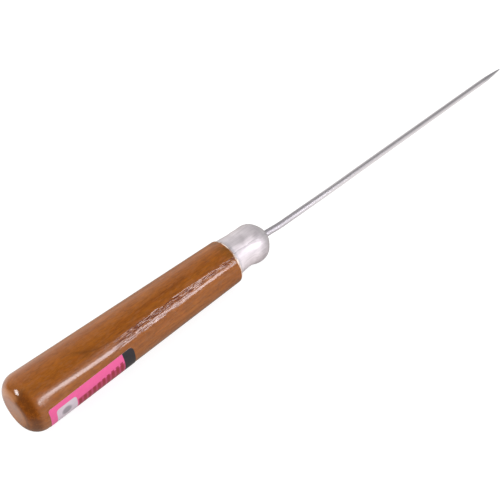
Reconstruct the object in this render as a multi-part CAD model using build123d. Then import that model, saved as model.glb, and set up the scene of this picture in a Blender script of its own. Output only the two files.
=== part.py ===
from build123d import *
import math
import os

# Scratch awl for leatherwork: a turned hardwood handle, a turned aluminium
# ferrule on the handle's spigot, and a round steel blade whose winged tang is
# bonded into the handle.
#
# Frame: millimetres, +X along the tool from butt to point, +Z up, the tool
# lying on its side. Origin at the centre of the butt's flat face.
# X is the axis of every turned shape; names ending in _x are places along it.

# ---- handle
handle_len = 95.0          # butt face to the shoulder under the ferrule
handle_butt_d = 22.36      # the taper's diameter if it ran on to the butt face
handle_front_d = 17.36     # the same at the shoulder
butt_radius = 6.2          # round on the butt's edge
shoulder_radius = 1.2      # round on the front rim
spigot_d = 11.2            # tenon that carries the ferrule
spigot_len = 11.0
spigot_chamfer = 0.6
spigot_end_x = handle_len + spigot_len
bore_d = 3.8               # blind bore for the tang, drilled from the front
bore_end_x = 58.0          # where its full diameter stops
bore_tip_len = 1.1         # drill point beyond that

# ---- ferrule
ferrule_len = 18.4
ferrule_end_x = handle_len + ferrule_len
socket_len = 11.2          # a little deeper than the spigot is long
base_break = 0.15          # 45 degree break on the base's outer edge
# outside, as (distance from the shoulder, radius): flared base, shallow
# waist, bulb and domed nose
ferrule_profile = [
    (base_break, 7.62), (1.5, 7.44), (3.0, 7.25), (4.5, 7.09), (6.0, 7.02),
    (7.5, 7.07), (9.0, 7.26), (10.5, 7.44), (12.0, 7.46), (13.5, 7.18),
    (15.0, 6.40), (16.2, 5.28), (17.2, 4.10), (17.9, 3.05), (ferrule_len, 2.10),
]

# ---- blade
blade_d = 2.5              # drawn steel rod
tang_d = 2.0               # turned down; the step seats on the ferrule's nose
parallel_end_x = 155.0
taper_end_x = 235.0
taper_end_d = 2.18         # diameter where the point starts
point_mid_x = 242.0
point_mid_d = 1.64
tip_x = 248.0
tip_d = 0.40               # diameter where the tip's small round starts
tip_round_len = 0.15
wing_width = 3.5           # the tang's end is swaged flat, so it can't turn
wing_thick = 1.6
wing_front_x = 75.0        # the tang is round in front of here
wing_full_x = 71.5         # full wing section from here to the tang's end
tang_end_x = 62.0

# ---- label; angles are about X, from +Y towards +Z
label_rear_x = 6.8
label_front_x = 43.4
label_top_deg = 180.0 - 25.5   # upper edge, above the horizontal on the -Y side
label_span_deg = 99.0          # runs down from there, round the handle
label_low_deg = label_top_deg + label_span_deg
label_thick = 0.12
label_rear_corner = 0.8        # corner radii, towards the butt and the ferrule
label_front_corner = 1.6
corner_cut_margin = 0.6        # how far a corner cutter reaches past the sheet
corner_cut_height = 3.0
corner_keep_height = 4.0       # taller than the cutter, so it clears both faces


def taper_radius(x):
    """Radius of the handle's straight taper at x."""
    slope = (handle_front_d - handle_butt_d) / 2.0 / handle_len
    return handle_butt_d / 2.0 + slope * x


def turned(outline, corners=()):
    """Revolve a closed (x, radius) outline about X.

    corners lists (fillet or chamfer, outline point, size).
    """
    with BuildPart() as part:
        with BuildSketch(Plane.XY) as sketch:
            with BuildLine():
                Polyline(*outline, close=True)
            make_face()
            for operation, (x, y), size in corners:
                vertex = min(sketch.vertices(),
                             key=lambda v: (v.X - x) ** 2 + (v.Y - y) ** 2)
                operation(vertex, size)
        revolve(axis=Axis.X)
    return part.part


def make_bore():
    """Solid that fills the blind bore and its drill point."""
    return turned([
        (bore_end_x - bore_tip_len, 0),
        (bore_end_x, bore_d / 2),
        (spigot_end_x, bore_d / 2),
        (spigot_end_x, 0),
    ])


def make_handle(bore):
    """Taper with rounded butt and front rim, spigot and tang bore."""
    butt_edge = (0, handle_butt_d / 2)
    front_rim = (handle_len, handle_front_d / 2)
    spigot_edge = (spigot_end_x, spigot_d / 2)
    body = turned(
        [(0, 0), butt_edge, front_rim,
         (handle_len, spigot_d / 2), spigot_edge, (spigot_end_x, 0)],
        corners=[(fillet, butt_edge, butt_radius),
                 (fillet, front_rim, shoulder_radius),
                 (chamfer, spigot_edge, spigot_chamfer)],
    )
    return body - bore


def make_blade():
    """Parallel rod, slow taper, convex point, stepped and swaged tang."""
    taper_end = (taper_end_x, taper_end_d / 2)
    round_start = (tip_x - tip_round_len, tip_d / 2)
    # the tip is a spherical cap: its radius, and the angle halfway round it
    tip_radius = (tip_round_len ** 2 + (tip_d / 2) ** 2) / (2 * tip_round_len)
    half_angle = math.asin(tip_d / 2 / tip_radius) / 2
    with BuildPart() as blade:
        with BuildSketch(Plane.XY):
            with BuildLine():
                Polyline((tip_x, 0),
                         (wing_front_x, 0),
                         (wing_front_x, tang_d / 2),
                         (ferrule_end_x, tang_d / 2),
                         (ferrule_end_x, blade_d / 2),
                         (parallel_end_x, blade_d / 2),
                         taper_end)
                ThreePointArc(taper_end, (point_mid_x, point_mid_d / 2), round_start)
                ThreePointArc(round_start,
                              (tip_x - tip_radius + tip_radius * math.cos(half_angle),
                               tip_radius * math.sin(half_angle)),
                              (tip_x, 0))
            make_face()
        revolve(axis=Axis.X)
        # the round tang flows into the flat wings
        with BuildSketch(Plane.YZ.offset(wing_front_x)):
            Circle(tang_d / 2)
        with BuildSketch(Plane.YZ.offset(wing_full_x)):
            Ellipse(wing_width / 2, wing_thick / 2)
        loft()
        with BuildSketch(Plane.YZ.offset(tang_end_x)):
            Ellipse(wing_width / 2, wing_thick / 2)
        extrude(amount=wing_full_x - tang_end_x)
    return blade.part


def make_ferrule():
    """Turned cap with a socket for the spigot and a hole for the tang."""
    outside = [(handle_len + distance, radius) for distance, radius in ferrule_profile]
    socket_end_x = handle_len + socket_len
    base_radius = ferrule_profile[0][1] - base_break
    with BuildPart() as ferrule:
        with BuildSketch(Plane.XY):
            with BuildLine():
                Spline(*outside)
                Polyline(outside[-1],
                         (ferrule_end_x, tang_d / 2),
                         (socket_end_x, tang_d / 2),
                         (socket_end_x, spigot_d / 2),
                         (handle_len, spigot_d / 2),
                         (handle_len, base_radius),
                         outside[0])
            make_face()
        revolve(axis=Axis.X)
    return ferrule.part


def radial(degrees):
    """Unit vector out from the X axis."""
    angle = math.radians(degrees)
    return Vector(0, math.cos(angle), math.sin(angle))


def make_label():
    """Thin sheet wrapped on the taper, with rounded corners."""
    rear_radius = taper_radius(label_rear_x)
    front_radius = taper_radius(label_front_x)
    # sketch plane through the axis and the sheet's upper edge
    section = Plane(origin=(0, 0, 0), x_dir=(1, 0, 0),
                    z_dir=Vector(1, 0, 0).cross(radial(label_top_deg)))
    with BuildPart() as sheet:
        with BuildSketch(section):
            Polygon((label_rear_x, rear_radius),
                    (label_front_x, front_radius),
                    (label_front_x, front_radius + label_thick),
                    (label_rear_x, rear_radius + label_thick), align=None)
        revolve(axis=Axis.X, revolution_arc=label_span_deg)
    label = sheet.part

    # each corner loses a square block less the cylinder that rounds it;
    # x_side and y_side point from the cylinder's centre to the corner
    for x, x_side, radius in (
        (label_rear_x + label_rear_corner, -1, label_rear_corner),
        (label_front_x - label_front_corner, 1, label_front_corner),
    ):
        inset_deg = math.degrees(radius / taper_radius(x))
        side = radius + corner_cut_margin
        for degrees, y_side in ((label_top_deg + inset_deg, 1),
                                (label_low_deg - inset_deg, -1)):
            outward = radial(degrees)
            centre = Plane(origin=Vector(x, 0, 0) + outward * taper_radius(x),
                           x_dir=(1, 0, 0), z_dir=outward)
            block = Pos(x_side * side / 2, y_side * side / 2, 0) * Box(
                side, side, corner_cut_height)
            label = label - centre * (block - Cylinder(radius, corner_keep_height))
    return label


bore = make_bore()
blade = make_blade()
parts = {
    "handle": make_handle(bore),
    "ferrule": make_ferrule(),
    "blade": blade,
    # fills the bore round the tang, flush with the spigot's end
    "tang_adhesive": bore - blade,
    "label": make_label(),
}

os.makedirs("parts", exist_ok=True)
for name, shape in parts.items():
    shape.label = name
    export_step(shape, "parts/" + name + ".step")
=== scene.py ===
# An awl: a turned wooden handle with a film label, an aluminium ferrule and a round steel
# blade. Its axis is the X axis: the butt is at x = 0, the ferrule's nose is at about 113 mm
# and the point at 248 mm. "Front" means towards the point (+X), "rear" towards the butt.
# The label is on the -Y side. Angles round the axis run from -Y (0 degrees) towards +Z.
# Lengths are in millimetres unless a comment says otherwise.
import math

import bmesh
import bpy
import numpy as np
from mathutils import Matrix, Vector


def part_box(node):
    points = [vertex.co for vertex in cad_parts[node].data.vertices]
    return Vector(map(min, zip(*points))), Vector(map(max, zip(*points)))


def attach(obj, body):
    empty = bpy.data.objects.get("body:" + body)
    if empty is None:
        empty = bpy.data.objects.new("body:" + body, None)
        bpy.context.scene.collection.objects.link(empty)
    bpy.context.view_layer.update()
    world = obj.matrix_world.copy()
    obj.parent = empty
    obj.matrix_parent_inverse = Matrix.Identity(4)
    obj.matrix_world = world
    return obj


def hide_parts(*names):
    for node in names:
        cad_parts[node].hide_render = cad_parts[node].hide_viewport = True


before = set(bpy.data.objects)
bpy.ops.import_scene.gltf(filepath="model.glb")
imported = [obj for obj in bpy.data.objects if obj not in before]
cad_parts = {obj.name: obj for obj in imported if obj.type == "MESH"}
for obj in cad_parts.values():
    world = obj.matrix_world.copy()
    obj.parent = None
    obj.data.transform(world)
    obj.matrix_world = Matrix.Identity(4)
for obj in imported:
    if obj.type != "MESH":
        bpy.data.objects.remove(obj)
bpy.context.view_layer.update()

MM = 0.001
BODY = "root"


def box_mm(part):
    """Low and high corners of a CAD piece."""
    return [np.array(corner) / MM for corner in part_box(part)]


handle_hi = box_mm("handle")[1]
ferrule_lo, ferrule_hi = box_mm("ferrule")
blade_hi = box_mm("blade")[1]
label_lo, label_hi = box_mm("label")

SHOULDER = float(ferrule_lo[0])       # x of the handle's front face
NOSE = float(ferrule_hi[0])           # x of the ferrule's nose
TIP = float(blade_hi[0])              # x of the point
SPIGOT_END = float(handle_hi[0])      # x where the handle's spigot ends, in the ferrule
SPIGOT_R = 5.6                        # radius of the spigot and of the ferrule's socket
R_MAX = float(handle_hi[2])           # widest radius of the handle
R_BUTT, R_RIM = 6.2, 1.2              # rounds on the handle's rear and front edges
TAPER = -2.5 / 95.0                   # change of radius along the handle, per mm
TAPER_ANGLE = math.atan(TAPER)
# radius of the taper at x = 0: the butt's round touches it where the handle is widest
CONE_START_R = R_MAX - TAPER * R_BUTT * (1 - math.sin(TAPER_ANGLE))


def cone_r(x):
    return CONE_START_R + TAPER * x


LABEL_START, LABEL_END = float(label_lo[0]), float(label_hi[0])
LABEL_LENGTH = LABEL_END - LABEL_START
LABEL_MID = LABEL_LENGTH / 2
# angle of the label's upper edge, in degrees; its surface stands 0.12 off the wood
LABEL_TOP = math.degrees(math.asin(label_hi[2] / (cone_r(LABEL_START) + 0.12)))
LABEL_SPAN = 99.0                     # how far it wraps round the handle, in degrees
LABEL_BEND_R = 10.55                  # radius that turns lengths across it into angles
PRINT_BEND_R = 10.75                  # the same for the print
LABEL_REAR_R, LABEL_FRONT_R = 0.8, 1.6    # corner radii
LABEL_SKEW = 0.026                    # radians; stuck on a little askew


# ------------------------------------------------------------------- noise
PERMUTATION = np.tile(np.random.RandomState(77).permutation(256), 2)
GRADIENTS = np.array([(1, 1, 0), (-1, 1, 0), (1, -1, 0), (-1, -1, 0),
                      (1, 0, 1), (-1, 0, 1), (1, 0, -1), (-1, 0, -1),
                      (0, 1, 1), (0, -1, 1), (0, 1, -1), (0, -1, -1)], float)


def noise3(x, y, z):
    """Gradient noise, about -1 to 1, the same on every run."""
    coords = np.broadcast_arrays(x, y, z)
    cells = [np.floor(c).astype(int) for c in coords]
    fx, fy, fz = (c - cell for c, cell in zip(coords, cells))
    eased_x, eased_y, eased_z = (t * t * t * (t * (t * 6 - 15) + 10) for t in (fx, fy, fz))
    cx, cy, cz = (cell & 255 for cell in cells)
    total = 0
    for i in (0, 1):
        for j in (0, 1):
            for k in (0, 1):
                row = PERMUTATION[PERMUTATION[(cx + i) & 255] + ((cy + j) & 255)]
                gradient = GRADIENTS[PERMUTATION[row + ((cz + k) & 255)] % 12]
                slope = (gradient[..., 0] * (fx - i) + gradient[..., 1] * (fy - j)
                         + gradient[..., 2] * (fz - k))
                weight = ((eased_x if i else 1 - eased_x) * (eased_y if j else 1 - eased_y)
                          * (eased_z if k else 1 - eased_z))
                total = total + weight * slope
    return total


def rise(x, start, end):
    """Smooth 0 to 1 as x goes from start to end."""
    t = np.clip((x - start) / (end - start), 0, 1)
    return t * t * (3 - 2 * t)


def fall(x, start, end):
    """Smooth 1 to 0 as x goes from start to end."""
    return 1 - rise(x, start, end)


# ------------------------------------------------------------ mesh helpers
def get_points(mesh):
    """Vertex places as an (n, 3) array in mm."""
    points = np.empty(len(mesh.vertices) * 3)
    mesh.vertices.foreach_get("co", points)
    return points.reshape(-1, 3) / MM


def set_points(mesh, points):
    mesh.vertices.foreach_set("co", (points * MM).reshape(-1))
    mesh.update()


def add_object(name, points, faces):
    """A smooth-shaded closed solid whose faces turn outward."""
    mesh = bpy.data.meshes.new(name)
    mesh.from_pydata([tuple(point) for point in np.array(points) * MM], [], faces)
    mesh.validate()
    mesh.update()
    # a closed solid's faces turn outward when its signed volume is positive
    mesh.calc_loop_triangles()
    corners = np.empty(len(mesh.loop_triangles) * 3, dtype=np.int32)
    mesh.loop_triangles.foreach_get("vertices", corners)
    triangles = get_points(mesh)[corners.reshape(-1, 3)]
    a, b, c = triangles[:, 0], triangles[:, 1], triangles[:, 2]
    if float(np.einsum("ij,ij->i", a, np.cross(b, c)).sum()) < 0:
        mesh.flip_normals()
        mesh.update()
    mesh.polygons.foreach_set("use_smooth", [True] * len(mesh.polygons))
    piece = bpy.data.objects.new(name, mesh)
    bpy.context.scene.collection.objects.link(piece)
    return piece


def around_axis(radius, angle):
    """y and z of a place given by its radius and angle (radians)."""
    return -radius * np.cos(angle), radius * np.sin(angle)


def ring_grid(profile, columns):
    """Grids of x, radius and angle: a row per profile point, a column per step round."""
    angles = np.arange(columns) * (2 * math.pi / columns)
    x, angle = np.meshgrid(profile[:, 0], angles, indexing="ij")
    radius = np.repeat(profile[:, 1:2], columns, 1)
    return x, radius, angle


def ring_points(x, radius, angle):
    return np.stack([x, *around_axis(radius, angle)], -1).reshape(-1, 3)


def ring_quads(rows, columns, closed=False):
    """Quads between neighbouring rings; closed also joins the last ring to the first."""
    here = np.arange(rows * columns).reshape(rows, columns)
    beside = np.roll(here, -1, axis=1)
    quads = np.stack([here, beside, np.roll(beside, -1, axis=0), np.roll(here, -1, axis=0)], -1)
    return (quads if closed else quads[:-1]).reshape(-1, 4).tolist()


def turned(name, profile, columns, depth, attributes=None):
    """A closed turned piece. profile is an array of (x, radius) whose first and last
    points lie on the axis; depth moves the surface out along the profile's normal."""
    x, radius, angle = ring_grid(profile[1:-1], columns)
    run = profile[2:] - profile[:-2]
    normal = np.c_[-run[:, 1], run[:, 0]]
    normal /= np.maximum(np.linalg.norm(normal, axis=1), 1e-9)[:, None]
    points = ring_points(x + normal[:, 0:1] * depth, radius + normal[:, 1:2] * depth, angle)
    points = np.vstack([points, [profile[0, 0], 0, 0], [profile[-1, 0], 0, 0]])
    faces = ring_quads(len(x), columns)
    first_pole = x.size
    last_pole = first_pole + 1
    last_ring = first_pole - columns
    steps = [(j, (j + 1) % columns) for j in range(columns)]
    faces += [(first_pole, after, j) for j, after in steps]
    faces += [(last_pole, last_ring + j, last_ring + after) for j, after in steps]
    piece = add_object(name, points, faces)
    for key, field in (attributes or {}).items():
        values = np.concatenate([field.reshape(-1), [0.0, 0.0]]).astype(np.float32)
        piece.data.attributes.new(key, "FLOAT", "POINT").data.foreach_set("value", values)
    return piece


def arc(centre_x, centre_r, radius, start, end, count):
    """(x, r) points on an arc; angles in degrees, 0 along +x, 90 along +r."""
    return [(centre_x + radius * math.cos(a), centre_r + radius * math.sin(a))
            for a in np.radians(np.linspace(start, end, count))]


def hand_over(piece, part, material):
    """Give a piece its material and tell the frame which CAD part it replaces."""
    piece.data.materials.append(material)
    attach(piece, BODY)
    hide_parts(part)


# ------------------------------------------------------------ node helpers
class Nodes:
    """Short helper for building the node tree of a material or world. Where a value is
    expected, a socket is linked, and a node stands for its first output."""

    def __init__(self, owner, output):
        owner.use_nodes = True
        self.owner = owner
        self.tree = owner.node_tree
        self.tree.nodes.clear()
        self.output = self.tree.nodes.new(output)

    def set(self, socket, value):
        if isinstance(value, bpy.types.Node):
            value = value.outputs[0]
        if isinstance(value, bpy.types.NodeSocket):
            self.tree.links.new(value, socket)
        elif socket.type == "RGBA":
            socket.default_value = (*value[:3], 1.0)
        else:
            socket.default_value = value

    def node(self, kind, inputs=None, **props):
        node = self.tree.nodes.new(kind)
        for key, value in props.items():
            setattr(node, key, value)
        for key, value in (inputs or {}).items():
            self.set(node.inputs[key], value)
        return node

    def math(self, operation, a, b=0.0, c=None, clamp=False):
        inputs = {0: a, 1: b} if c is None else {0: a, 1: b, 2: c}
        return self.node("ShaderNodeMath", inputs, operation=operation,
                         use_clamp=clamp).outputs[0]

    def add(self, a, b):
        return self.math("ADD", a, b)

    def sub(self, a, b):
        return self.math("SUBTRACT", a, b)

    def mul(self, a, b):
        return self.math("MULTIPLY", a, b)

    def line(self, value, gain, base, clamp=False):
        """value * gain + base"""
        return self.math("MULTIPLY_ADD", value, gain, base, clamp)

    def inverse(self, value):
        return self.sub(1.0, value)

    def length(self, a, b):
        return self.math("SQRT", self.add(self.mul(a, a), self.mul(b, b)))

    def map_range(self, value, start, end, low=0.0, high=1.0, kind="LINEAR"):
        inputs = {"Value": value, "From Min": start, "From Max": end,
                  "To Min": low, "To Max": high}
        return self.node("ShaderNodeMapRange", inputs, interpolation_type=kind).outputs[0]

    def rise(self, value, start, end):
        """Smooth 0 to 1 as value goes from start to end."""
        return self.map_range(value, start, end, kind="SMOOTHSTEP")

    def fall(self, value, start, end):
        """Smooth 1 to 0 as value goes from start to end."""
        return self.inverse(self.rise(value, start, end))

    def band(self, value, up, down):
        """1 between the two (start, end) pairs where it rises and falls."""
        return self.mul(self.rise(value, *up), self.fall(value, *down))

    def split(self, vector):
        return self.node("ShaderNodeSeparateXYZ", {0: vector}).outputs

    def angle(self, y, z):
        """Angle round the axis in radians, 0 at -Y and growing towards +Z."""
        return self.math("ARCTAN2", z, self.mul(y, -1.0))

    def mix(self, factor, a, b, blend="MIX"):
        return self.node("ShaderNodeMix", {0: factor, 6: a, 7: b}, data_type="RGBA",
                         blend_type=blend, clamp_factor=True).outputs[2]

    def stain(self, colour, mask, amount, tint):
        """Cover the colour with a tint by mask times amount."""
        return self.mix(self.mul(mask, amount), colour, tint)

    def shade(self, colour, amount, factor):
        """Multiply the colour by a factor, by some amount."""
        return self.mix(amount, colour, factor, "MULTIPLY")

    def ramp(self, value, stops):
        """Linear ramp through (position, colour or grey) stops."""
        node = self.node("ShaderNodeValToRGB", {"Fac": value})
        elements = node.color_ramp.elements
        while len(elements) < len(stops):
            elements.new(0.5)
        for element, (position, colour) in zip(elements, stops):
            element.position = position
            element.color = (*(grey(colour) if isinstance(colour, (int, float)) else colour), 1.0)
        return node.outputs[0]

    def surface(self, shader):
        self.set(self.output.inputs["Surface"], shader)

    def surface_by_ray(self, other, glossy, camera):
        """One shader for camera rays, one for reflections, one for the rest."""
        rays = self.node("ShaderNodeLightPath").outputs
        unseen = self.node("ShaderNodeMixShader", {0: rays["Is Glossy Ray"], 1: other, 2: glossy})
        self.surface(self.node("ShaderNodeMixShader",
                               {0: rays["Is Camera Ray"], 1: unseen, 2: camera}))


class Surface(Nodes):
    """A Principled material textured in object space, in millimetres."""

    def __init__(self, name):
        super().__init__(bpy.data.materials.new(name), "ShaderNodeOutputMaterial")
        coordinates = self.node("ShaderNodeTexCoord").outputs["Object"]
        self.place = self.node("ShaderNodeVectorMath", {0: coordinates, "Scale": 1 / MM},
                               operation="SCALE").outputs[0]

    def noise(self, vector, scale, detail, rough):
        return self.node("ShaderNodeTexNoise", {"Vector": vector, "Scale": scale,
                                                "Detail": detail, "Roughness": rough}).outputs[0]

    def grain(self, along, across, detail, rough, shift=(0, 0, 0), slant=0.0):
        """Noise with its own scales (per mm) along and across the axis; slant, in
        radians, turns it about Z."""
        mapped = self.node("ShaderNodeMapping", {"Vector": self.place, "Location": shift,
                                                 "Rotation": (0, 0, slant),
                                                 "Scale": (along, across, across)})
        return self.noise(mapped, scale=1.0, detail=detail, rough=rough)

    def rings(self, x, scale, detail, rough, shift=0.0):
        """Noise that varies only along the axis."""
        vector = self.node("ShaderNodeCombineXYZ", {0: self.mul(x, scale), 1: shift})
        return self.noise(vector, scale=1.0, detail=detail, rough=rough)

    def attribute(self, name):
        return self.node("ShaderNodeAttribute", attribute_name=name).outputs["Fac"]

    def geometry(self, output):
        return self.node("ShaderNodeNewGeometry").outputs[output]

    def tangent(self):
        """Tangent round the axis."""
        return self.node("ShaderNodeTangent", direction_type="RADIAL", axis="X")

    def bump(self, height, strength, distance, normal=None):
        """distance is in metres."""
        inputs = {"Height": height, "Strength": strength, "Distance": distance}
        if normal is not None:
            inputs["Normal"] = normal
        return self.node("ShaderNodeBump", inputs).outputs[0]

    def principled(self, inputs):
        """Finish with a Principled shader and return the material."""
        self.surface(self.node("ShaderNodeBsdfPrincipled", inputs))
        return self.owner


def grey(value):
    return (value, value, value)


def half_turns(*degrees):
    return [angle / 180 for angle in degrees]


# -------------------------------------------------------------------- wood
# In these functions turn is the angle round the axis in half turns, and butt_facing is
# how squarely the surface faces the rear (-X), 1 on the butt's flat.
def wood_figure(m, y, z):
    """Colour of the plain wood."""
    # the growth rings run as gentle curves
    drift = m.grain(along=0.012, across=0.16, detail=2.0, rough=0.5)
    ring_place = m.add(m.mul(y, 0.50), m.mul(z, 0.86))
    ring_place = m.add(ring_place, m.mul(drift, 9.0))
    rings = m.line(m.math("SINE", m.mul(ring_place, 2.1)), gain=0.5, base=0.5)
    # cloudy figure, fibres, and the finest fibre lines
    cloud = m.grain(along=0.035, across=0.20, detail=3.0, rough=0.55, shift=(3, 1, 7))
    fibre = m.grain(along=0.10, across=1.9, detail=4.0, rough=0.6, shift=(9, 4, 2))
    fine = m.grain(along=0.35, across=7.0, detail=2.0, rough=0.5, shift=(1, 8, 5))
    tone = m.add(m.mul(cloud, 0.50), m.mul(rings, 0.10))
    tone = m.add(tone, m.mul(m.sub(fibre, 0.5), 0.17))
    tone = m.add(tone, 0.21)
    colour = m.ramp(tone, [(0.22, (0.198, 0.050, 0.0020)),
                           (0.45, (0.262, 0.073, 0.0030)),
                           (0.62, (0.306, 0.091, 0.0050)),
                           (0.85, (0.372, 0.124, 0.0120))])
    # reddish flecks
    fleck = m.grain(along=0.16, across=0.75, detail=3.0, rough=0.6, shift=(5, 2, 9))
    colour = m.stain(colour, m.rise(fleck, 0.56, 0.72), amount=0.35, tint=(0.345, 0.078, 0.009))
    colour = m.shade(colour, amount=0.34, factor=m.ramp(fine, [(0.3, 0.58), (0.7, 1.28)]))
    # uneven stain: greyer and browner patches a few millimetres long
    mottle = m.grain(along=0.42, across=1.25, detail=3.0, rough=0.65, shift=(6, 1, 2))
    colour = m.shade(colour, amount=0.66,
                     factor=m.ramp(mottle, [(0.32, 0.74), (0.50, 1.0), (0.68, 1.17)]))
    patch = m.grain(along=0.30, across=0.9, detail=2.0, rough=0.6, shift=(1, 7, 4))
    colour = m.stain(colour, m.rise(patch, 0.50, 0.64), amount=0.30, tint=(0.30, 0.112, 0.036))
    # dark filler in the open pores, and the mineral streak
    colour = m.stain(colour, m.attribute("pore"), amount=0.42, tint=(0.110, 0.026, 0.003))
    return m.stain(colour, m.attribute("streak"), amount=0.62, tint=(0.120, 0.036, 0.004))


def stain_end_grain(m, colour, normal_x, y, turn, blotch):
    """More stain on the butt, thinned towards +Y by painted light, and a dark line round the edge
    of its flat.
    """
    def facing():
        return m.mul(normal_x, -1.0)

    end = m.mul(m.rise(facing(), 0.16, 0.62),
                m.inverse(m.mul(0.65, m.rise(facing(), 0.72, 0.97))))
    # painted light: the stain thins towards +Y
    end = m.mul(end, m.inverse(m.mul(0.75, m.rise(y, -2.6, 0.8))))
    speck = m.grain(along=0.8, across=4.0, detail=2.0, rough=0.6)
    tint = m.mix(m.rise(speck, 0.40, 0.64), (0.125, 0.036, 0.0035), (0.245, 0.078, 0.0075))
    tint = m.mix(m.rise(blotch, 0.46, 0.60), m.mix(0.66, tint, (0.080, 0.022, 0.0022)), tint)
    colour = m.stain(colour, end, amount=0.86, tint=tint)
    lip = m.mul(m.rise(facing(), 0.875, 0.93), m.fall(facing(), 0.955, 0.985))
    lip = m.mul(lip, m.rise(blotch, 0.34, 0.50))
    lip = m.mul(lip, m.fall(turn, *half_turns(70, 84)))
    return m.stain(colour, lip, amount=0.55, tint=(0.100, 0.026, 0.002))


def red_edge(m, butt_facing, turn):
    """Mask of the butt's rounded edge on the label's side."""
    edge = m.band(butt_facing, (0.25, 0.50), (0.86, 0.97))
    edge = m.mul(edge, m.fall(turn, *half_turns(71, 80)))
    upper = m.rise(turn, *half_turns(0.0, 32))
    lower = m.rise(turn, *half_turns(-60, -20))
    return m.mul(edge, m.line(upper, gain=0.65, base=m.mul(lower, 0.35)))


def paint_light_on_butt(m, colour, y, z, butt_facing, turn):
    """Painted light on the upper side of the butt's round, and a painted floor reflection across
    its flat.
    """
    # painted light: a pale patch on the upper side of the butt's round, round the back lamp's
    # glint
    unlabelled_and_lit_patch = m.mul(m.rise(butt_facing, 0.75, 0.87), m.rise(turn, *half_turns(68, 90)))
    unlabelled_and_lit_patch = m.mul(unlabelled_and_lit_patch, m.fall(turn, *half_turns(146, 172)))
    unlabelled_and_lit_patch = m.mul(unlabelled_and_lit_patch, m.inverse(m.mul(m.rise(butt_facing, 0.955, 0.995), 0.85)))
    colour = m.stain(colour, unlabelled_and_lit_patch, amount=0.60, tint=(0.42, 0.186, 0.080))
    # painted floor reflection: the flat turns paler and greyer towards -Y and -Z
    slope = m.add(m.mul(y, 0.82), m.mul(z, 0.57))
    face = m.mix(m.rise(slope, -4.5, 4.5), (1.30, 1.33, 1.34), (1.0, 0.87, 0.68))
    return m.mix(m.rise(butt_facing, 0.965, 0.99), colour, m.shade(colour, 1.0, face))


def colour_front_edge(m, colour, x, z, normal_x, turn, blotch):
    """Painted shade behind the front edge, and a painted highlight along the rounded rim."""
    # painted shade, in patches, on the upper side just behind the front edge
    rim_shade = m.mul(m.rise(x, SHOULDER - 6.0, SHOULDER - 1.5), m.rise(blotch, 0.36, 0.60))
    rim_shade = m.mul(rim_shade, m.rise(z, 5.0, 8.0))
    colour = m.stain(colour, rim_shade, amount=0.72, tint=(0.120, 0.045, 0.003))
    # painted highlight: the rounded rim is painted pale cream, broken up by noise
    glint_breakup = m.grain(along=0.3, across=0.6, detail=3.0, rough=0.6, shift=(1, 2, 3))
    # the painted highlight is wider from about 30 to 56 degrees
    wide = m.band(turn, half_turns(22, 38), half_turns(52, 60))
    rim = m.math("MAXIMUM", m.rise(normal_x, 0.12, 0.42),
                 m.mul(wide, m.rise(normal_x, 0.04, 0.16)))
    rim = m.mul(rim, m.rise(glint_breakup, 0.28, 0.46))
    # a short stretch gets less of the painted highlight
    less_glint = m.band(turn, half_turns(59, 64), half_turns(78, 85))
    rim = m.mul(rim, m.line(less_glint, gain=-0.72, base=1.0))
    return m.stain(colour, rim, amount=0.90, tint=(0.93, 0.80, 0.69))


def varnish(m, x, turn, red, opened):
    """Normal, roughness and weight of the coat, and the mask of its broken dashes."""
    fibres = m.grain(along=0.22, across=4.6, detail=3.0, rough=0.62, shift=(2, 6, 1))
    wood_normal = m.bump(fibres, strength=0.30, distance=0.00008)
    peel = m.grain(along=0.5, across=0.8, detail=2.0, rough=0.5)
    normal = m.bump(fibres, strength=0.05, distance=0.00005)
    normal = m.bump(peel, strength=0.25, distance=0.00006, normal=normal)
    # where the grain is open the varnish lies in long furrows
    furrow = m.grain(along=0.065, across=2.0, detail=1.0, rough=0.5, shift=(4, 4, 6))
    normal = m.bump(furrow, strength=m.mul(opened, 0.55), distance=0.00006, normal=normal)
    smudge = m.grain(along=0.25, across=0.9, detail=3.0, rough=0.6, shift=(3, 3, 3))
    rough = m.line(smudge, gain=0.06, base=0.110)
    rough = m.sub(rough, m.mul(opened, 0.055))
    # a rubbed ring just in front of the butt
    rubbed = m.band(x, (2.4, 4.4), (7.0, 12.0))
    rough = m.add(rough, m.mul(rubbed, 0.09))
    # it breaks over the larger pores, in slightly slanted dashes that shine less
    dash = m.rise(m.grain(along=0.30, across=4.6, detail=1.0, rough=0.4, shift=(2, 5, 8),
                          slant=0.035), 0.488, 0.518)
    dash = m.mul(dash, m.rise(opened, 0.34, 0.80))
    dash = m.mul(dash, m.line(m.rise(turn, *half_turns(47.5, 50.5)), gain=0.50, base=0.50))
    weight = m.inverse(m.mul(dash, 0.85))
    weight = m.mul(weight, m.line(red, gain=-0.82, base=1.0))
    coat = {"Normal": wood_normal, "Coat Normal": normal, "Coat Roughness": rough,
            "Coat Weight": weight}
    return coat, dash


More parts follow.
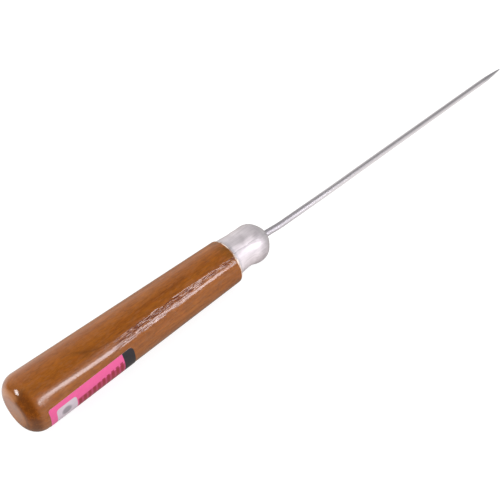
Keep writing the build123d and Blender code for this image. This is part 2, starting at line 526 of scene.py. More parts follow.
def wood_material():
    m = Surface("varnished_wood")
    x, y, z = m.split(m.place)
    normal_x = m.split(m.geometry("True Normal"))[0]
    turn = m.mul(m.angle(y, z), 1 / math.pi)
    butt_facing = m.mul(normal_x, -1.0)
    blotch = m.grain(along=0.20, across=0.42, detail=3.0, rough=0.6, shift=(8, 8, 3))
    colour = wood_figure(m, y, z)
    # painted light and shade round the handle (degrees, factor): darkest at 66, palest at 130
    painted_shading_round = [(35, 0.98), (57, 0.95), (66, 0.875), (78, 0.90), (92, 0.95), (106, 0.98),
               (116, 1.10), (130, 1.15), (150, 1.0)]
    colour = m.shade(colour, amount=1.0,
                     factor=m.ramp(turn, [(angle / 180, value) for angle, value in painted_shading_round]))
    colour = stain_end_grain(m, colour, normal_x, y, turn, blotch)
    red = red_edge(m, butt_facing, turn)
    colour = m.mix(red, colour, m.shade(colour, amount=1.0, factor=(0.96, 0.84, 0.56)))
    colour = paint_light_on_butt(m, colour, y, z, butt_facing, turn)
    colour = colour_front_edge(m, colour, x, z, normal_x, turn, blotch)
    coat, dash = varnish(m, x, turn, red, m.attribute("open"))
    colour = m.stain(colour, dash, amount=0.80, tint=(0.085, 0.018, 0.014))
    return m.principled({"Base Color": colour, "Roughness": 0.52, "Specular IOR Level": 0.06,
                         "Coat IOR": 1.5, **coat})


# --------------------------------------------------------- other materials
def aluminium_material():
    m = Surface("turned_aluminium")
    x = m.split(m.place)[0]
    # turning marks: rings round the axis, uneven in depth
    rings = m.rings(x, scale=7.5, detail=5.0, rough=0.7)
    haze = m.grain(along=0.30, across=0.30, detail=3.0, rough=0.55, shift=(4, 4, 4))
    colour = m.ramp(m.add(m.mul(haze, 0.6), m.mul(rings, 0.4)),
                    [(0.30, (0.68, 0.623, 0.648)), (0.70, (0.81, 0.748, 0.772))])
    # faint streaks along the piece
    silk = m.grain(along=0.06, across=1.9, detail=2.0, rough=0.6, shift=(5, 5, 5))
    colour = m.shade(colour, amount=0.55,
                     factor=m.ramp(silk, [(0.34, 0.80), (0.50, 1.0), (0.66, 1.10)]))
    # angle in degrees, swaying a little along the piece
    _, y, z = m.split(m.place)
    sway = m.rings(x, scale=0.22, detail=2.0, rough=0.5, shift=3.0)
    degrees = m.add(m.mul(m.angle(y, z), 180.0 / math.pi), m.mul(m.sub(sway, 0.5), 9.0))
    # painted shade where the base meets the wood
    base_shade = m.fall(x, SHOULDER + 0.5, SHOULDER + 1.5)
    base_shade = m.mul(base_shade, m.line(m.rise(degrees, 78.0, 90.0), gain=-0.65, base=1.0))
    colour = m.stain(colour, base_shade, amount=0.58, tint=(0.38, 0.365, 0.40))
    # painted light and shade round the piece (degrees, brightness), with a painted dark line at
    # 62 where a gap between the lamps reflects
    painted_shading_ferrule = [(-30, 0.86), (5, 0.93), (18, 0.97), (34, 0.85), (46, 0.755), (57, 0.755),
               (60.6, 0.73), (62.4, 0.54), (64.4, 0.94), (76, 0.925), (81, 0.70), (96, 0.70),
               (112, 0.73), (150, 0.80)]
    painted_shading_ferrule = m.ramp(m.line(degrees, gain=1.0 / 180, base=30.0 / 180),
                     [((angle + 30) / 180, value) for angle, value in painted_shading_ferrule])
    # painted shade: the dome is darker
    behind_dome = m.fall(x, SHOULDER + 8.5, SHOULDER + 12.5)
    painted_shading_ferrule = m.mix(behind_dome, grey(0.62), painted_shading_ferrule)
    colour = m.shade(colour, 1.0, m.shade(painted_shading_ferrule, 1.0, grey(1.25)))
    # painted shade on the dome's face, where it turns forward
    normal_x = m.split(m.geometry("Normal"))[0]
    colour = m.stain(colour, m.rise(normal_x, 0.17, 0.60), amount=0.85,
                     tint=(0.43, 0.405, 0.415))
    fine = m.grain(along=9.0, across=0.8, detail=3.0, rough=0.6)
    scratches = m.grain(along=0.25, across=6.0, detail=2.0, rough=0.5, shift=(7, 3, 2))
    normal = m.bump(rings, strength=0.35, distance=0.00005)
    normal = m.bump(scratches, strength=0.10, distance=0.00005, normal=normal)
    # a thin bloom of oxide scatters part of the light
    metal = m.line(m.sub(haze, 0.5), gain=-0.5, base=0.46, clamp=True)
    return m.principled({"Base Color": colour, "Metallic": metal,
                         "Roughness": m.line(fine, gain=0.12, base=0.42),
                         "Anisotropic": 0.45, "Anisotropic Rotation": 0.25,
                         "Tangent": m.tangent(), "Normal": normal, "Coat Weight": 0.45,
                         "Coat Roughness": 0.07})


def steel_material():
    m = Surface("ground_steel")
    x = m.split(m.place)[0]
    drawn = m.grain(along=0.10, across=9.0, detail=4.0, rough=0.65)
    cloud = m.grain(along=0.12, across=0.6, detail=3.0, rough=0.6, shift=(2, 2, 2))
    colour = m.ramp(m.add(m.mul(drawn, 0.5), m.mul(cloud, 0.5)),
                    [(0.30, (0.71, 0.680, 0.690)), (0.70, (0.85, 0.815, 0.825))])
    # the ground point is darker, with marks round it
    point = m.rise(x, TIP - 13.0, TIP - 9.0)
    rings = m.rings(x, scale=14.0, detail=4.0, rough=0.7)
    colour = m.stain(colour, point, amount=0.42, tint=(0.40, 0.40, 0.42))
    # the rod is rougher next to the nose, and painted shade dims the lamps' reflection there
    rough_and_shaded = m.fall(x, NOSE, NOSE + 42.0)
    colour = m.stain(colour, rough_and_shaded, amount=0.82, tint=(0.48, 0.455, 0.475))
    rough = m.add(m.line(drawn, gain=0.12, base=0.26), m.mul(point, 0.06))
    rough = m.add(rough, m.mul(rough_and_shaded, 0.17))
    normal = m.bump(drawn, strength=0.22, distance=0.00004)
    normal = m.bump(rings, strength=m.mul(point, 0.35), distance=0.00004, normal=normal)
    return m.principled({"Base Color": colour, "Metallic": 1.0, "Roughness": rough,
                         "Anisotropic": 0.70, "Tangent": m.tangent(), "Normal": normal})


def label_print(m, u, v, tint):
    """The printed colours; u runs forward from the rear end, v down from the upper edge."""
    def block(left, right, top, bottom, soft=0.06):
        return m.mul(m.band(u, (left - soft, left + soft), (right - soft, right + soft)),
                     m.band(v, (top - soft, top + soft), (bottom - soft, bottom + soft)))

    dots = m.noise(m.place, scale=3.5, detail=2.0, rough=0.6)
    colour = m.mix(tint, (0.68, 0.089, 0.255), (0.755, 0.112, 0.298))
    colour = m.stain(colour, m.rise(dots, 0.55, 0.75), amount=0.12, tint=(0.85, 0.20, 0.40))
    # a band of darker pink, an even row of ten bars on it and two lines below
    dark = (0.245, 0.006, 0.014)
    colour = m.stain(colour, block(11.3, 31.7, 4.1, 11.4, soft=0.35), amount=0.64, tint=dark)
    bar_width, bar_pitch, top_step = 1.25, 2.04, 0.17
    for i in range(10):
        left = 11.5 + bar_pitch * i
        bar = block(left, left + bar_width, 4.5 - top_step * i, 11.0, soft=0.16)
        colour = m.stain(colour, bar, amount=0.80, tint=dark)
    for right, top, bottom in ((30.0, 12.4, 13.2), (25.0, 14.2, 14.9)):
        colour = m.stain(colour, block(11.6, right, top, bottom), amount=0.8, tint=dark)

    # a pale panel with rounded corners
    def beyond(coordinate, middle, half):
        distance = m.sub(m.math("ABSOLUTE", m.sub(coordinate, middle)), half)
        return m.math("MAXIMUM", distance, 0.0)

    outside = m.length(beyond(u, middle=6.65, half=3.05), beyond(v, middle=9.20, half=6.00))
    panel = m.mix(tint, (0.512, 0.436, 0.478), (0.612, 0.534, 0.580))
    colour = m.mix(m.fall(outside, 1.10, 1.28), colour, panel)
    # a soft grey disc on the panel
    disc = m.length(m.sub(u, 6.4), m.mul(m.sub(v, 5.1), 1.15))
    colour = m.stain(colour, m.fall(disc, 1.35, 2.5), amount=0.62, tint=(0.095, 0.088, 0.098))
    # the front end is black
    black = m.mix(tint, (0.012, 0.010, 0.013), (0.022, 0.019, 0.023))
    return m.mix(m.rise(u, 31.72, 31.87), colour, black)


def label_material():
    m = Surface("label_film")
    x, y, z = m.split(m.place)
    u = m.sub(x, LABEL_START)
    v = m.mul(m.sub(math.radians(LABEL_TOP), m.angle(y, z)), PRINT_BEND_R)
    # the print follows the skewed sheet
    u, v = (m.add(u, m.mul(v, -LABEL_SKEW)),
            m.add(v, m.mul(m.sub(u, LABEL_MID), LABEL_SKEW)))
    tint = m.grain(along=0.5, across=0.5, detail=3.0, rough=0.5)
    colour = label_print(m, u, v, tint)
    # bare cut edge of the film, where the surface does not face outward
    _, normal_y, normal_z = m.split(m.geometry("True Normal"))
    outward = m.math("DIVIDE", m.add(m.mul(normal_y, y), m.mul(normal_z, z)), m.length(y, z))
    colour = m.mix(m.fall(outward, 0.3, 0.7), colour, (0.62, 0.50, 0.54))
    wave = m.grain(along=0.35, across=0.35, detail=2.0, rough=0.5, shift=(6, 6, 1))
    paper = m.noise(m.place, scale=6.0, detail=3.0, rough=0.6)
    normal = m.bump(wave, strength=0.4, distance=0.0001)
    normal = m.bump(paper, strength=0.10, distance=0.00004, normal=normal)
    return m.principled({"Base Color": colour, "Roughness": m.line(paper, gain=0.15, base=0.30),
                         "Specular IOR Level": 0.30, "Normal": normal,
                         "Coat Weight": 0.10, "Coat Roughness": 0.25})


def adhesive_material():
    m = Surface("cured_adhesive")
    lumps = m.noise(m.place, scale=0.9, detail=4.0, rough=0.6)
    colour = m.ramp(lumps, [(0.3, (0.42, 0.26, 0.07)), (0.7, (0.62, 0.44, 0.17))])
    return m.principled({"Base Color": colour, "Roughness": m.line(lumps, gain=0.2, base=0.2),
                         "Normal": m.bump(lumps, strength=0.3, distance=0.0001)})


# ------------------------------------------------------------------ handle
HANDLE_COLUMNS = 288


def handle_profile():
    """(x, r) points from the butt round to the bore's end, and how many of the rows
    between the two poles are on the outer skin."""
    slope = math.degrees(TAPER_ANGLE)
    butt_r = cone_r(R_BUTT) - R_BUTT / math.cos(TAPER_ANGLE)     # centre of the butt's round
    rim_x = SHOULDER - R_RIM
    profile = [(0.0, 0.0)]
    profile += [(0.0, r) for r in np.linspace(0.5, butt_r - 0.15, 9)]
    profile += arc(R_BUTT, butt_r, R_BUTT, 180, 90 + slope, 30)
    profile += [(x, cone_r(x)) for x in np.linspace(profile[-1][0], rim_x, 284)[1:-1]]
    profile += arc(rim_x, cone_r(rim_x) - R_RIM, R_RIM, 90 + slope, 0, 9)
    skin_rows = len(profile) - 1
    # front face, spigot, and the bore with its coned end
    profile += [(SHOULDER, 6.5), (SHOULDER, SPIGOT_R), (SPIGOT_END - 0.6, SPIGOT_R),
                (SPIGOT_END, 5.0), (SPIGOT_END, 1.9), (58.0, 1.9), (56.9, 0.0)]
    return np.array(profile), skin_rows


def label_cover(x, angle):
    """1 under the label, 0 clear of it, with a soft edge outside it."""
    degrees = np.degrees(angle)
    degrees = np.where(degrees > 180, degrees - 360, degrees)
    bottom = LABEL_TOP - LABEL_SPAN
    return (rise(x, LABEL_START - 1.2, LABEL_START - 0.2)
            * fall(x, LABEL_END + 0.2, LABEL_END + 1.2)
            * rise(degrees, bottom - 7, bottom - 1) * fall(degrees, LABEL_TOP + 1, LABEL_TOP + 7))


def open_pores(ring_x, side_rows):
    """Short dashes along the grain on the given rows, up to 1 where deepest."""
    rng = np.random.RandomState(20611)
    column_angle = 2 * math.pi / HANDLE_COLUMNS
    pores = np.zeros((len(ring_x), HANDLE_COLUMNS))
    for _ in range(5200):
        middle_x = rng.uniform(4, 93.5)
        length = rng.uniform(1.0, 5.5) * (1.3 if rng.rand() < 0.2 else 1.0)
        middle_column = rng.uniform(0, 2 * math.pi) / (2 * math.pi) * HANDLE_COLUMNS
        width = rng.uniform(0.07, 0.15)
        deepest = rng.uniform(0.3, 1.0)
        slant = 0.012 + rng.normal(0, 0.006)
        rows = side_rows[np.abs(ring_x[side_rows] - middle_x) < length / 2]
        if len(rows) < 2:
            continue
        start = math.floor(middle_column)
        columns = np.arange(start - 3, start + 5)
        ahead = ring_x[rows][:, None] - middle_x
        beside = (columns[None, :] - middle_column) * column_angle * cone_r(middle_x)
        beside = beside - slant * ahead
        dash = np.exp(-(beside / width) ** 2) * deepest
        dash = dash * np.clip(1.3 * (1 - (2 * np.abs(ahead) / length) ** 2), 0, 1)
        cells = np.ix_(rows, columns % HANDLE_COLUMNS)
        pores[cells] = np.maximum(pores[cells], dash)
    return pores


def mineral_streak(x, y, z, radius, degrees):
    """A thin dark line that drifts across the grain, with a soft halo."""
    line = 57.0 + 20.0 * np.exp(-(np.clip(x, 24.0, 95.0) - 26.3) / 5.2)
    line += noise3(x * 0.25, 0.5, 0.5)
    off = (degrees - line) * math.pi / 180 * radius
    width = 0.20 + 0.30 * fall(x, 27, 35) + 0.06 * noise3(x * 0.5, y, z)
    streak = np.exp(-(off / width) ** 2)
    streak *= rise(x, 24.5, 27) * (1 - 0.45 * rise(x, 34, 44)) * fall(x, 52, 66)
    halo = np.exp(-(off / 2.1) ** 2) * rise(x, 19, 26) * fall(x, 28, 38)
    return np.clip(streak * (0.62 + 0.4 * noise3(x * 0.9, y * 2, z * 2)) + 0.38 * halo, 0, 1)


def build_handle():
    profile, skin_rows = handle_profile()
    ring_x = profile[1:-1, 0]
    x, radius, angle = ring_grid(profile[1:-1], HANDLE_COLUMNS)
    y, z = around_axis(radius, angle)
    degrees = np.degrees(angle)
    degrees = np.where(degrees > 250, degrees - 360, degrees)
    skin = np.zeros_like(x)
    skin[:skin_rows] = 1.0
    side = skin * rise(x, 3.0, 7.0) * fall(x, 92.6, 94.0)
    unlabelled_and_lit_patch = 1 - label_cover(x, angle)
    # long shallow waves
    wave = 0.016 * noise3(x * 0.045, y * 0.13, z * 0.13)
    wave += 0.004 * noise3(x * 0.11 + 9, y * 0.5, z * 0.5)
    # the grain is open towards the front, fully so only in one band high on the -Y side
    open_grain = 0.13 + 0.87 * rise(x + 6 * noise3(x * 0.05, y * 0.3 + 5, z * 0.3), 30, 46)
    low_edge = 41.0 + 6.0 * rise(x, 64, 80)
    band = rise(degrees, low_edge - 2.0, low_edge + 2.0) * fall(degrees, 57.0, 61.0)
    open_grain = open_grain * (1 - 0.66 * (1 - band))
    # ridges where the varnish follows the grain, from broad to narrow
    ridges = 0.0044 * noise3(x * 0.05 + 3, y * 0.85, z * 0.85)
    ridges += 0.0044 * noise3(x * 0.09 + 7, y * 1.9, z * 1.9)
    ridges += 0.0046 * band * noise3(x * 0.30 + 2, y * 3.4 + 0.09 * x, z * 3.4)
    side_rows = np.where((ring_x > 5) & (np.arange(len(ring_x)) < skin_rows))[0]
    pore = open_pores(ring_x, side_rows)
    pore *= 0.35 + 0.65 * rise(x + 8 * noise3(x * 0.04 + 2, y * 0.25, z * 0.25), 24, 46)
    # towards the butt the cone is a touch flat, about a line at 48 degrees
    off = (degrees - 48.0) * math.pi / 180 * radius
    flat = 0.066 * fall(x, 9.0, 30.0) * rise(x, 4.5, 8.0) * off * np.exp(-(off / 2.6) ** 2)
    depth = skin * flat * unlabelled_and_lit_patch
    depth += side * (wave + open_grain * ridges - 0.062 * open_grain * pore) * unlabelled_and_lit_patch
    # end grain: shallow pits on the butt
    depth += skin * fall(x, 2.0, 5.0) * 0.005 * noise3(x * 0.6, y * 1.3, z * 1.3)
    attributes = {"pore": pore * unlabelled_and_lit_patch,
                  "streak": mineral_streak(x, y, z, radius, degrees) * skin,
                  "open": np.clip((open_grain - 0.13) / 0.87, 0, 1) * 0.94 + 0.06}
    return turned("handle_wood", profile, HANDLE_COLUMNS, depth, attributes)


# ----------------------------------------------------------------- ferrule
# outline: x in front of the shoulder, radius
FERRULE = [(0.15, 7.62), (1.5, 7.44), (3.0, 7.25), (4.5, 7.09), (6.0, 7.02), (7.5, 7.07),
           (9.0, 7.26), (10.5, 7.44), (12.0, 7.46), (13.5, 7.18), (15.0, 6.40), (16.2, 5.28),
           (17.2, 4.10), (17.9, 3.05), (18.4, 2.10)]
SOCKET_DEPTH = 11.2


def spline(points, count):
    """count points on the natural cubic through the given ones, by chord length."""
    points = np.array(points, float)
    steps = np.linalg.norm(np.diff(points, axis=0), axis=1)
    chord = np.r_[0, np.cumsum(steps)]
    last = len(chord) - 1
    system = np.eye(last + 1)
    target = np.zeros((last + 1, 2))
    slopes = np.diff(points, axis=0) / steps[:, None]
    for i in range(1, last):
        system[i, i - 1:i + 2] = steps[i - 1], 2 * (steps[i - 1] + steps[i]), steps[i]
        target[i] = 6 * (slopes[i] - slopes[i - 1])
    bend = np.linalg.solve(system, target)
    result = []
    for s in np.linspace(0, chord[-1], count):
        i = min(max(np.searchsorted(chord, s) - 1, 0), last - 1)
        a = (chord[i + 1] - s) / steps[i]
        b = (s - chord[i]) / steps[i]
        curve = (a ** 3 - a) * bend[i] + (b ** 3 - b) * bend[i + 1]
        result.append(a * points[i] + b * points[i + 1] + curve * steps[i] ** 2 / 6)
    return np.array(result)


def build_ferrule():
    # a closed loop: out of the socket, round the base, along the outside, back to the bore
    socket_end = SHOULDER + SOCKET_DEPTH
    bore_r = 1.0
    loop = [(socket_end, bore_r), (socket_end, 3.4), (socket_end, SPIGOT_R),
            (SHOULDER + 6, SPIGOT_R), (SHOULDER, SPIGOT_R), (SHOULDER, 6.6),
            (SHOULDER, 7.40), (SHOULDER + 0.03, 7.52)]
    loop += [(SHOULDER + x, r) for x, r in spline(FERRULE, 150)]
    loop += [(NOSE, 1.95), (NOSE, 1.6), (NOSE, bore_r)]
    columns = 224
    points = ring_points(*ring_grid(np.array(loop), columns))
    piece = add_object("ferrule_aluminium", points, ring_quads(len(loop), columns, closed=True))
    # its outside stands a little off the axis, most at the waist; the inside stays true
    points = get_points(piece.data)
    x = points[:, 0]
    radius = np.hypot(points[:, 1], points[:, 2])
    shift = 0.20 + 0.52 * fall(x, SHOULDER + 6.8, SHOULDER + 10.6)
    shift -= 0.17 * fall(x, SHOULDER, SHOULDER + 3.5)
    shift *= np.where(x > socket_end + 0.1, rise(radius, 1.0, 2.6), rise(radius, 5.7, 6.7))
    points[:, 1] += 0.844 * shift
    points[:, 2] += 0.536 * shift
    set_points(piece.data, points)
    return piece


# ------------------------------------------------------------------- blade
TANG_END, TANG_R = 62.0, 1.0          # the tang's rear end, inside the handle
ROD_R = 1.25
STRAIGHT_END = 155.0                  # x where the rod starts to taper
POINT_START, POINT_START_R = 235.0, 1.09
TIP_CAP, TIP_CAP_R = 0.15, 0.20       # length and base radius of the tiny round on the tip


def rod_r(x):
    slope = (POINT_START_R - ROD_R) / (POINT_START - STRAIGHT_END)
    return ROD_R + slope * max(x - STRAIGHT_END, 0.0)


def circle_through(first, second, third):
    """Centre and radius of the circle through three (x, y) places."""
    (x1, y1), (x2, y2), (x3, y3) = first, second, third
    twice_area = 2 * (x1 * (y2 - y3) + x2 * (y3 - y1) + x3 * (y1 - y2))
    square1, square2, square3 = x1**2 + y1**2, x2**2 + y2**2, x3**2 + y3**2
    x = (square1 * (y2 - y3) + square2 * (y3 - y1) + square3 * (y1 - y2)) / twice_area
    y = (square1 * (x3 - x2) + square2 * (x1 - x3) + square3 * (x2 - x1)) / twice_area
    return x, y, math.hypot(x1 - x, y1 - y)


def blade_profile():
    tang_stations = [62.06, 63.0, 65.0, 68.0, 71.5, 72.4, 73.3, 74.1, *np.linspace(75, NOSE, 6)]
    profile = [(TANG_END, 0.0), (TANG_END, 0.94)]
    profile += [(x, TANG_R) for x in tang_stations]
    profile += [(NOSE, 1.10), (NOSE, ROD_R)]
    profile += [(x, rod_r(x)) for x in np.linspace(NOSE + 0.15, POINT_START, 180)]
    # the convex point: an arc through three places, then the round on the tip
    cap_x = TIP - TIP_CAP
    centre_x, centre_r, radius = circle_through((POINT_START, POINT_START_R), (242.0, 0.82),
                                                (cap_x, TIP_CAP_R))
    profile += [(x, centre_r + math.sqrt(max(radius * radius - (x - centre_x) ** 2, 0)))
                for x in np.linspace(POINT_START + 0.2, cap_x, 60)]
    ball = (TIP_CAP ** 2 + TIP_CAP_R ** 2) / (2 * TIP_CAP)
    cap_angle = math.degrees(math.asin(TIP_CAP_R / ball))
    profile += arc(TIP - ball, 0.0, ball, cap_angle * 0.85, cap_angle * 0.12, 7)
    profile.append((TIP, 0.0))
    return np.array(profile)


def build_blade():
    profile = blade_profile()
    columns = 64
    x, radius, angle = ring_grid(profile[1:-1], columns)
    y, z = around_axis(radius, angle)
    # slight unevenness outside the ferrule, coarser on the point
    free = rise(x, NOSE + 1, NOSE + 4)
    before_tip = fall(x, 243, 247)
    depth = 0.006 * noise3(x * 0.10, y * 0.7, z * 0.7) * free * fall(x, 232, 236)
    depth += 0.010 * noise3(x * 0.5, y * 0.9, z * 0.9) * rise(x, 234, 237) * before_tip
    depth -= 0.008 * free * before_tip
    piece = turned("blade_steel", profile, columns, depth)
    points = get_points(piece.data)
    x = points[:, 0]
    # the tang's end is flat, 3.5 by 1.6, flowing back to the round
    flat = 1 - np.clip((x - 71.5) / 3.5, 0, 1)
    points[:, 1] *= 1 + 0.75 * flat
    points[:, 2] *= 1 - 0.20 * flat
    # past the nose the rod leans off towards -Y and -Z, and comes partly back further on
    lean = 0.42 * rise(x, NOSE, NOSE + 9) + 0.07 * rise(x, 135, 160)
    lean += 0.13 * np.exp(-((x - 144.0) / 15.0) ** 2)
    lean -= 0.10 * rise(x, 165, 230) + 0.08 * rise(x, 238, TIP)
    points[:, 1] -= 0.85 * lean
    points[:, 2] -= 0.53 * lean
    set_points(piece.data, points)
    return piece


# ------------------------------------------------------------------- label
def corner_inset(u):
    """How far the rounded corners draw the long edges in at u."""
    for distance, corner in ((u, LABEL_REAR_R), (LABEL_LENGTH - u, LABEL_FRONT_R)):
        if distance < corner:
            return corner - math.sqrt(max(corner ** 2 - (corner - distance) ** 2, 0))
    return 0.0


def label_points(stations, across):
    """Outer points, then inner points, row by row along the label."""
    width = math.radians(LABEL_SPAN) * LABEL_BEND_R
    outer, inner = [], []
    for u in stations:
        inset = corner_inset(u)
        for v in np.linspace(inset, width - inset, across):
            x = LABEL_START + u + LABEL_SKEW * (v - 5.0)
            wood_r = cone_r(x)
            angle = math.radians(LABEL_TOP) - (v - LABEL_SKEW * (u - LABEL_MID)) / LABEL_BEND_R
            edge = max(min(u, LABEL_LENGTH - u, v, width - v), 0)
            lift = 0.004 * noise3(u * 0.3, v * 0.3, 2.5) * min(1.0, edge / 1.5)
            thickness = 0.112 + lift - 0.02 * math.exp(-edge / 0.08)
            outer.append((x, *around_axis(wood_r + thickness, angle)))
            inner.append((x, *around_axis(wood_r + 0.001, angle)))
    return outer + inner


def label_faces(rows, across):
    layer = rows * across
    faces = []
    for i in range(rows - 1):
        for j in range(across - 1):
            a = i * across + j
            b, c, d = a + 1, a + across + 1, a + across
            faces.append((a, b, c, d))
            faces.append((layer + a, layer + d, layer + c, layer + b))
    # the cut edge, all the way round
    last = (rows - 1) * across
    rim = [(i * across, (i + 1) * across) for i in range(rows - 1)]
    rim += [(last + j, last + j + 1) for j in range(across - 1)]
    rim += [((i + 1) * across - 1, i * across - 1) for i in range(rows - 1, 0, -1)]
    rim += [(j, j - 1) for j in range(across - 1, 0, -1)]
    return faces + [(a, b, layer + b, layer + a) for a, b in rim]


def build_label():
    # stations crowd together at both ends, where the corners are round
    ends = 1 - np.cos(np.linspace(0, math.pi / 2, 14))
    middle = np.linspace(LABEL_REAR_R, LABEL_LENGTH - LABEL_FRONT_R, 90)[1:-1]
    stations = np.r_[LABEL_REAR_R * ends, middle, LABEL_LENGTH - LABEL_FRONT_R * ends[::-1]]
    across = 72
    piece = add_object("label_film", label_points(stations, across),
                       label_faces(len(stations), across))
    # keep the cut edge crisp
    edit = bmesh.new()
    edit.from_mesh(piece.data)
    bmesh.ops.recalc_face_normals(edit, faces=edit.faces)
    for edge in edit.edges:
        if len(edge.link_faces) == 2 and edge.calc_face_angle(0) > 0.7:
            edge.smooth = False
    edit.to_mesh(piece.data)
    edit.free()
    return piece


hand_over(build_handle(), "handle", wood_material())
hand_over(build_ferrule(), "ferrule", aluminium_material())
hand_over(build_blade(), "blade", steel_material())
hand_over(build_label(), "label", label_material())

# the adhesive is hidden in its bore: the CAD solid keeps its shape
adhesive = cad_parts["tang_adhesive"]
adhesive.data.materials.clear()
adhesive.data.materials.append(adhesive_material())


# ------------------------------------------------------------------- floor
def floor_reflection(f):
    """Strength and colour of the floor as reflections see it."""
    x, y, _ = f.split(f.node("ShaderNodeNewGeometry").outputs["Position"])

    def along(source, stops):
        """A value that depends on a coordinate, from (mm, value) stops."""
        low, high = stops[0][0], stops[-1][0]
        return f.ramp(f.map_range(source, low * MM, high * MM),
                      [((at - low) / (high - low), value) for at, value in stops])

    # the light comes from the -Y side, so the tool's soft shadow is deeper on +Y
    beside = along(y, [(-60, 1.0), (-45, 0.95), (-22, 0.72), (-10, 0.40),
                       (0, 0.18), (12, 0.28), (37, 0.46), (100, 0.64)])
    # the shade leans away from the light round the butt
    leeward = f.math("MAXIMUM", f.add(y, 4 * MM), 0.0)
    under = along(f.line(leeward, gain=-0.7, base=x),
                  [(-60, 0.0), (-24, 0.10), (-12, 0.30), (-3, 0.85), (12, 1.0), (112, 1.0),
                   (136, 0.05), (160, 0.0)])
    away = along(x, [(-120, 0.12), (-60, 0.15), (-34, 0.35), (-20, 0.90), (-12, 1.0),
                     (60, 0.96), (100, 0.82), (120, 0.82), (140, 1.0), (160, 1.0)][:-1]
                 if False else AWAY_STOPS) if False else f.ramp(
        f.map_range(x, -120 * MM, 160 * MM),
        [((at + 120) / 280, value) for at, value in AWAY_STOPS])
    blend = f.map_range(under, 0.0, 1.0, low=0.95, high=beside)
    # the wood warms the floor beside it
    colour = f.mix(blend, (1.0, 0.80, 0.66), (1.0, 0.99, 0.985))
    return f.mul(blend, away), colour


# brightness of the reflected floor along the tool (x, value), on a ramp from -120 to 160
AWAY_STOPS = [(-120, 0.12), (-60, 0.15), (-34, 0.35), (-20, 0.90), (-12, 1.0),
              (60, 0.96), (100, 0.82), (120, 0.82), (140, 1.0)]


def floor_material():
    """Matt white with a little glow of its own."""
    f = Nodes(bpy.data.materials.new("floor_white"), "ShaderNodeOutputMaterial")

    def paper(albedo, glow):
        diffuse = f.node("ShaderNodeBsdfDiffuse", {"Color": grey(albedo)})
        return f.node("ShaderNodeAddShader", {0: diffuse, 1: f.node("ShaderNodeEmission", glow)})

    # seen directly it is overexposed; as a source of bounced light it is plain matt; in a
    # reflection it darkens under the tool and away behind the butt
    strength, colour = floor_reflection(f)
    f.surface_by_ray(other=paper(albedo=0.54, glow={"Strength": 0.0}),
                     glossy=paper(albedo=0.0, glow={"Strength": strength, "Color": colour}),
                     camera=paper(albedo=0.30, glow={"Strength": 0.80}))
    return f.owner


# the tool rests on its taper: the floor touches the handle's lowest line
touch = Vector((50 * MM, 0, -cone_r(50.0) * MM))
floor_normal = Vector((math.sin(TAPER_ANGLE), 0, math.cos(TAPER_ANGLE)))
bpy.ops.mesh.primitive_plane_add(size=6.0, location=(0, 0, 0))
floor = bpy.context.object
floor.name = "floor"
floor.rotation_euler = (0, TAPER_ANGLE, 0)
floor.location = touch - floor_normal * (0.02 * MM)
floor.data.materials.append(floor_material())


# ------------------------------------------------------------------- world
def build_world():
    world = bpy.data.worlds.new("studio")
    bpy.context.scene.world = world
    w = Nodes(world, "ShaderNodeOutputWorld")
    x, y, z = w.split(w.node("ShaderNodeTexCoord").outputs["Generated"])

    def background(colour, strength):
        return w.node("ShaderNodeBackground", {0: colour, 1: strength})

    # reflections see pale walls that darken overhead (height, brightness), behind the
    # butt and, less so, straight ahead of the point
    height = w.ramp(z, [(0.0, 0.80), (0.42, 0.68), (0.57, 0.50), (0.70, 0.40), (0.80, 0.29),
                        (0.88, 0.15), (1.0, 0.05)])
    rear = w.map_range(x, -0.70, -0.10, low=0.14, high=1.0, kind="SMOOTHSTEP")
    front = w.map_range(x, 0.55, 0.95, low=1.0, high=0.50, kind="SMOOTHSTEP")
    mirrored = background((0.99, 0.985, 1.0), w.mul(w.mul(height, rear), front))
    # the soft light fades towards the front and grows towards +Y
    ahead = w.map_range(x, 0.10, 1.0, low=0.84, high=0.38)
    sideways = w.map_range(y, -0.2, 1.0, low=0.94, high=2.0)
    soft = background((1, 0.99, 0.98), w.mul(ahead, sideways))
    w.surface_by_ray(other=soft, glossy=mirrored, camera=background(grey(1), 1.0))


build_world()


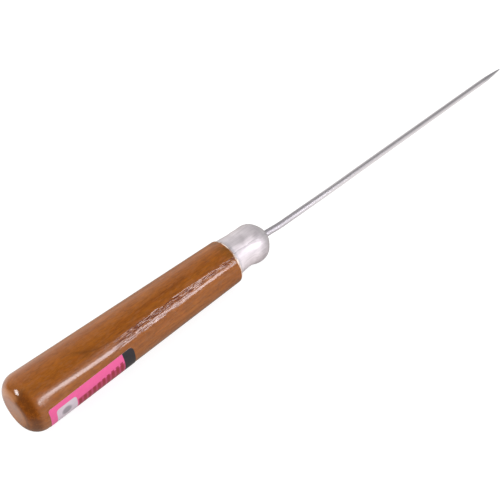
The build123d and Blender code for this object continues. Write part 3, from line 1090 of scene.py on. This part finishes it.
# ------------------------------------------------------------------ lights
def area(name, place, aim, length, width, radiance, colour=(1, 1, 1)):
    """Rectangular light facing aim; its length lies along X as nearly as it can."""
    place, aim = Vector(place) * MM, Vector(aim) * MM
    z = (place - aim).normalized()
    along = Vector((1, 0, 0))
    x = (along - z * along.dot(z)).normalized()
    y = z.cross(x)
    data = bpy.data.lights.new(name, "AREA")
    data.shape = "RECTANGLE"
    data.size, data.size_y = length * MM, width * MM
    data.energy = radiance * math.pi * (length * MM) * (width * MM)
    data.color = colour
    light = bpy.data.objects.new(name, data)
    light.matrix_world = Matrix((*zip(x, y, z, place), (0, 0, 0, 1)))
    bpy.context.scene.collection.objects.link(light)


# strips on the -Y side, each square to the axis: name, x, degrees above the horizontal,
# distance from the axis, length, width, radiance, colour
STRIPS = [
    ("key_strip", 128, 31.2, 600, 284, 118, 11.8, (0.95, 0.935, 0.98)),
    ("key_strip_front", 346, 29.6, 600, 152, 140, 11.6, (0.93, 0.92, 1.0)),
    ("skirt_strip", 200, 42.0, 604, 428, 110, 1.35, (0.985, 0.97, 1.0)),
    ("second_strip", 355, 54.5, 600, 118, 62, 12.5, (0.95, 0.94, 1.0)),
]
for name, x, degrees, distance, length, width, radiance, colour in STRIPS:
    place = (x, *around_axis(distance, math.radians(degrees)))
    area(name, place, (x, 0, 0), length, width, radiance, colour)
area("back_lamp", (-476, 278, 240), aim=(0, 0, 0), length=162, width=162, radiance=16.5)


# ------------------------------------------------------------------ camera
def build_camera():
    """Above the butt on the -Y side, looking down and forward."""
    data = bpy.data.cameras.new("camera")
    data.sensor_width = 36.0
    data.lens = 93.6
    data.clip_start, data.clip_end = 0.01, 20.0      # metres
    camera = bpy.data.objects.new("camera", data)
    bpy.context.scene.collection.objects.link(camera)
    azimuth, elevation = math.radians(-43.306), math.radians(48.891)
    level = math.cos(elevation)
    back = Vector((math.sin(azimuth) * level, -math.cos(azimuth) * level, math.sin(elevation)))
    camera.rotation_mode = "QUATERNION"
    camera.rotation_quaternion = (-back).to_track_quat("-Z", "Y")
    camera.location = Vector((-108.653, -228.011, 356.176)) * MM
    bpy.context.scene.camera = camera


build_camera()

view = bpy.context.scene.view_settings
view.view_transform = "Standard"
view.look = "None"
view.exposure = 0.0
view.gamma = 1.0

bpy.context.view_layer.update()
